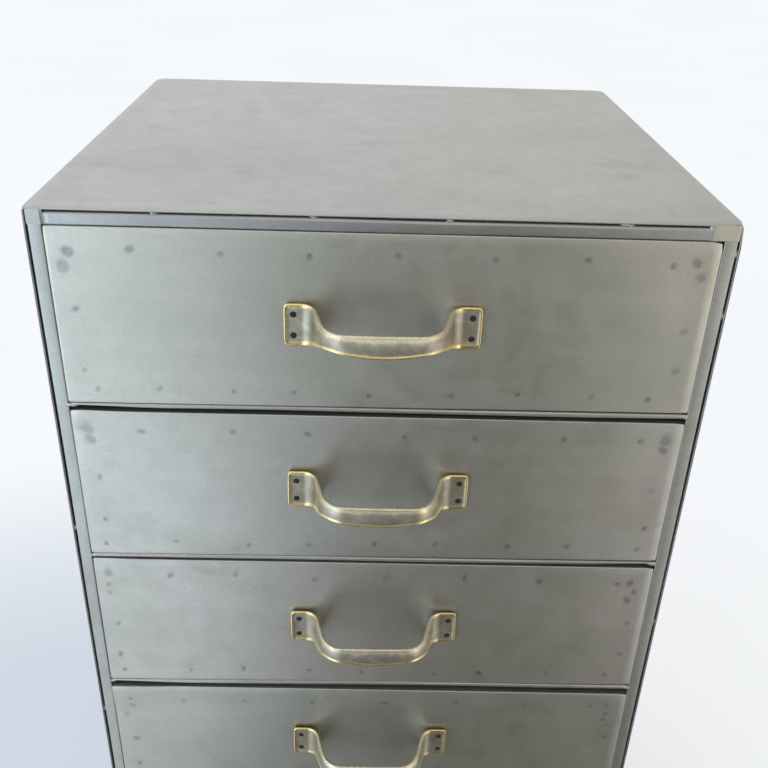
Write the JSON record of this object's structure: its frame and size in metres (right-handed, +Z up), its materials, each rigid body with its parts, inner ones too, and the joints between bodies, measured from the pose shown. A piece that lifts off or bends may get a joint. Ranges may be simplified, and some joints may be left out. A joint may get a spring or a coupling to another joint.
{
  "type": "steel drawer chest",
  "caption": "Tall narrow chest of full-width steel drawers on angle runners, each pulled open by a cast brass bow handle, for filing or tool storage.",
  "frame": {"origin": "on the floor, at the middle of the overall footprint, pulls included", "axes": "+Z up; the drawer fronts face -Y and the drawers pull out along -Y; +X is the viewer's right when facing the fronts"},
  "size_m": [0.45, 0.4564, 1.13],
  "materials": {
    "front_steel": "raw rolled sheet under clear lacquer, semi-gloss, with dark spot-weld marks",
    "top_steel": "raw rolled sheet under clear lacquer, semi-gloss",
    "carcass_steel": "raw rolled sheet under clear lacquer, semi-gloss",
    "hidden_steel": "plain mill-finish sheet",
    "weld_steel": "small tack weld beads, left as welded",
    "rivet_steel": "blackened steel",
    "aged_brass": "antique brass, dark patina in the hollows, rubbed golden on the edges",
    "glide_rubber": "matt black"
  },
  "bodies": {
    "carcass": {"top_panel": "top_steel", "left_side_panel": "carcass_steel", "right_side_panel": "carcass_steel", "back_panel": "carcass_steel", "bottom_panel": "hidden_steel", "left_stile": "carcass_steel", "right_stile": "carcass_steel", "rear_posts": "hidden_steel", "top_rail": "carcass_steel", "bottom_rail": "carcass_steel", "divider_rail_1": "carcass_steel", "divider_rail_2": "carcass_steel", "divider_rail_3": "carcass_steel", "divider_rail_4": "carcass_steel", "divider_rail_5": "carcass_steel", "divider_rail_6": "carcass_steel", "divider_rail_7": "carcass_steel", "runners_1": "hidden_steel", "runners_2": "hidden_steel", "runners_3": "hidden_steel", "runners_4": "hidden_steel", "runners_5": "hidden_steel", "runners_6": "hidden_steel", "runners_7": "hidden_steel", "runners_8": "hidden_steel", "legs": "hidden_steel", "glides": "glide_rubber", "tack_welds": "weld_steel"},
    "drawer_1": {"drawer_front_1": "front_steel", "drawer_box_1": "hidden_steel", "handle_1": "aged_brass", "handle_rivets_1": "rivet_steel"},
    "drawer_2": {"drawer_front_2": "front_steel", "drawer_box_2": "hidden_steel", "handle_2": "aged_brass", "handle_rivets_2": "rivet_steel"},
    "drawer_3": {"drawer_front_3": "front_steel", "drawer_box_3": "hidden_steel", "handle_3": "aged_brass", "handle_rivets_3": "rivet_steel"},
    "drawer_4": {"drawer_front_4": "front_steel", "drawer_box_4": "hidden_steel", "handle_4": "aged_brass", "handle_rivets_4": "rivet_steel"},
    "drawer_5": {"drawer_front_5": "front_steel", "drawer_box_5": "hidden_steel", "handle_5": "aged_brass", "handle_rivets_5": "rivet_steel"},
    "drawer_6": {"drawer_front_6": "front_steel", "drawer_box_6": "hidden_steel", "handle_6": "aged_brass", "handle_rivets_6": "rivet_steel"},
    "drawer_7": {"drawer_front_7": "front_steel", "drawer_box_7": "hidden_steel", "handle_7": "aged_brass", "handle_rivets_7": "rivet_steel"},
    "drawer_8": {"drawer_front_8": "front_steel", "drawer_box_8": "hidden_steel", "handle_8": "aged_brass", "handle_rivets_8": "rivet_steel"}
  },
  "joints": [
    {"name": "drawer_1_slide", "type": "slide", "parent": "carcass", "child": "drawer_1", "axis": [0, -1, 0], "range_m": [0, 0.33]},
    {"name": "drawer_2_slide", "type": "slide", "parent": "carcass", "child": "drawer_2", "axis": [0, -1, 0], "range_m": [0, 0.33]},
    {"name": "drawer_3_slide", "type": "slide", "parent": "carcass", "child": "drawer_3", "axis": [0, -1, 0], "range_m": [0, 0.33]},
    {"name": "drawer_4_slide", "type": "slide", "parent": "carcass", "child": "drawer_4", "axis": [0, -1, 0], "range_m": [0, 0.33]},
    {"name": "drawer_5_slide", "type": "slide", "parent": "carcass", "child": "drawer_5", "axis": [0, -1, 0], "range_m": [0, 0.33]},
    {"name": "drawer_6_slide", "type": "slide", "parent": "carcass", "child": "drawer_6", "axis": [0, -1, 0], "range_m": [0, 0.33]},
    {"name": "drawer_7_slide", "type": "slide", "parent": "carcass", "child": "drawer_7", "axis": [0, -1, 0], "range_m": [0, 0.33]},
    {"name": "drawer_8_slide", "type": "slide", "parent": "carcass", "child": "drawer_8", "axis": [0, -1, 0], "range_m": [0, 0.33]}
  ]
}
